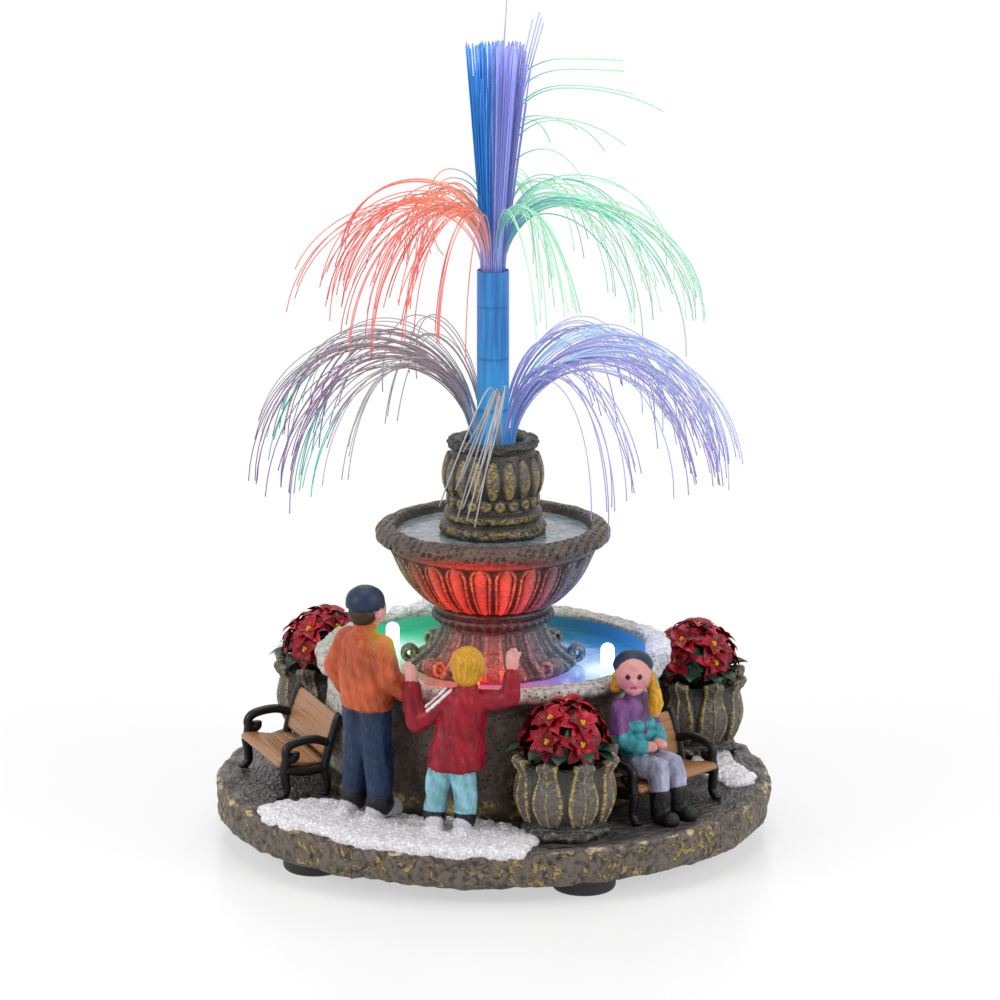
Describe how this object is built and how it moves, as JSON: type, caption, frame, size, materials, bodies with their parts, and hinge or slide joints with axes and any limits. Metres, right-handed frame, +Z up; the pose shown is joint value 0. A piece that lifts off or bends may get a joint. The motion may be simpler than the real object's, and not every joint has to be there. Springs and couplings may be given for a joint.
{
  "type": "light fountain",
  "caption": "Table-top light fountain: a stone pool with a pedestal, bowl and vase under a plume of lit fibres, with figures, benches and planters on a round base.",
  "frame": {"origin": "on the floor under the middle of the round base", "axes": "+Z up along the plume, -Y towards the side with the standing figures"},
  "size_m": [0.16, 0.16, 0.2426],
  "materials": {
    "base_stone": "rough",
    "foot_rubber": "matte",
    "pool_stone": "rough",
    "pool_resin": "gloss",
    "led_blue": "gloss",
    "led_green": "gloss",
    "led_red": "gloss",
    "led_clear": "gloss",
    "pedestal_stone": "satin",
    "bowl_stone": "satin",
    "bowl_resin": "gloss",
    "vase_stone": "satin",
    "holder_black": "matte",
    "ferrule_dark": "matte",
    "sleeve_blue": "gloss",
    "fibre_core_clear": "gloss",
    "fibre_violet": "gloss",
    "fibre_lavender": "gloss",
    "fibre_silver": "gloss",
    "fibre_red": "gloss",
    "fibre_green": "gloss",
    "fibre_azure": "gloss",
    "planter_stone": "satin",
    "leaf_paint": "satin",
    "bloom_paint": "satin",
    "bench_black": "gloss",
    "bench_brown": "satin",
    "boy_paint": "satin",
    "child_paint": "satin",
    "girl_paint": "satin",
    "snow_white": "matte",
    "cover_plastic": "matte",
    "door_plastic": "matte",
    "tray_plastic": "matte",
    "switch_plastic": "satin",
    "knob_plastic": "gloss",
    "steel": "satin",
    "cell_wrap": "gloss",
    "board_green": "gloss",
    "lead_sheath": "gloss"
  },
  "bodies": {
    "fountain": {"base_plinth": "base_stone", "rubber_feet": "foot_rubber", "pool_basin": "pool_stone", "pool_water": "pool_resin", "pool_led_right": "led_blue", "pool_led_left": "led_green", "pool_led_front": "led_red", "pool_led_leads": "lead_sheath", "pedestal": "pedestal_stone", "bowl": "bowl_stone", "bowl_water": "bowl_resin", "vase": "vase_stone", "plume_led_holder": "holder_black", "plume_led": "led_clear", "plume_leads": "lead_sheath", "fibre_ferrule": "ferrule_dark", "plume_sleeve": "sleeve_blue", "fibre_core": "fibre_core_clear", "lower_right_spray": "fibre_lavender", "lower_left_spray": "fibre_violet", "lower_front_spray": "fibre_silver", "upper_right_spray": "fibre_green", "upper_left_spray": "fibre_red", "crown_brush": "fibre_azure", "planter_front": "planter_stone", "planter_right": "planter_stone", "planter_left": "planter_stone", "leaves_front": "leaf_paint", "leaves_right": "leaf_paint", "leaves_left": "leaf_paint", "blossoms_front": "bloom_paint", "blossoms_right": "bloom_paint", "blossoms_left": "bloom_paint", "bench_left_ends": "bench_black", "bench_left_seat": "bench_brown", "bench_left_back": "bench_brown", "bench_right_ends": "bench_black", "bench_right_seat": "bench_brown", "bench_right_back": "bench_brown", "standing_boy": "boy_paint", "waving_child": "child_paint", "seated_girl": "girl_paint", "snow_front": "snow_white", "snow_right": "snow_white", "snow_rim_right": "snow_white", "snow_rim_left": "snow_white", "bottom_cover": "cover_plastic", "cover_screws": "steel", "hinge_pins": "steel", "battery_tray": "tray_plastic", "battery_cells": "cell_wrap", "plate_contacts": "steel", "spring_contacts": "steel", "battery_leads": "lead_sheath", "circuit_board": "board_green", "board_screws": "steel", "switch_housing": "switch_plastic", "switch_leads": "lead_sheath"},
    "battery_door": {"battery_door": "door_plastic"},
    "switch_slider": {"switch_slider": "knob_plastic"}
  },
  "joints": [
    {"name": "battery_door_hinge", "type": "hinge", "parent": "fountain", "child": "battery_door", "pos_m": [0, 0.0198, 0.0066], "axis": [1, 0, 0], "range_deg": [0, 92]},
    {"name": "switch_slide", "type": "slide", "parent": "fountain", "child": "switch_slider", "axis": [1, 0, 0], "range_m": [0, 0.004]}
  ]
}
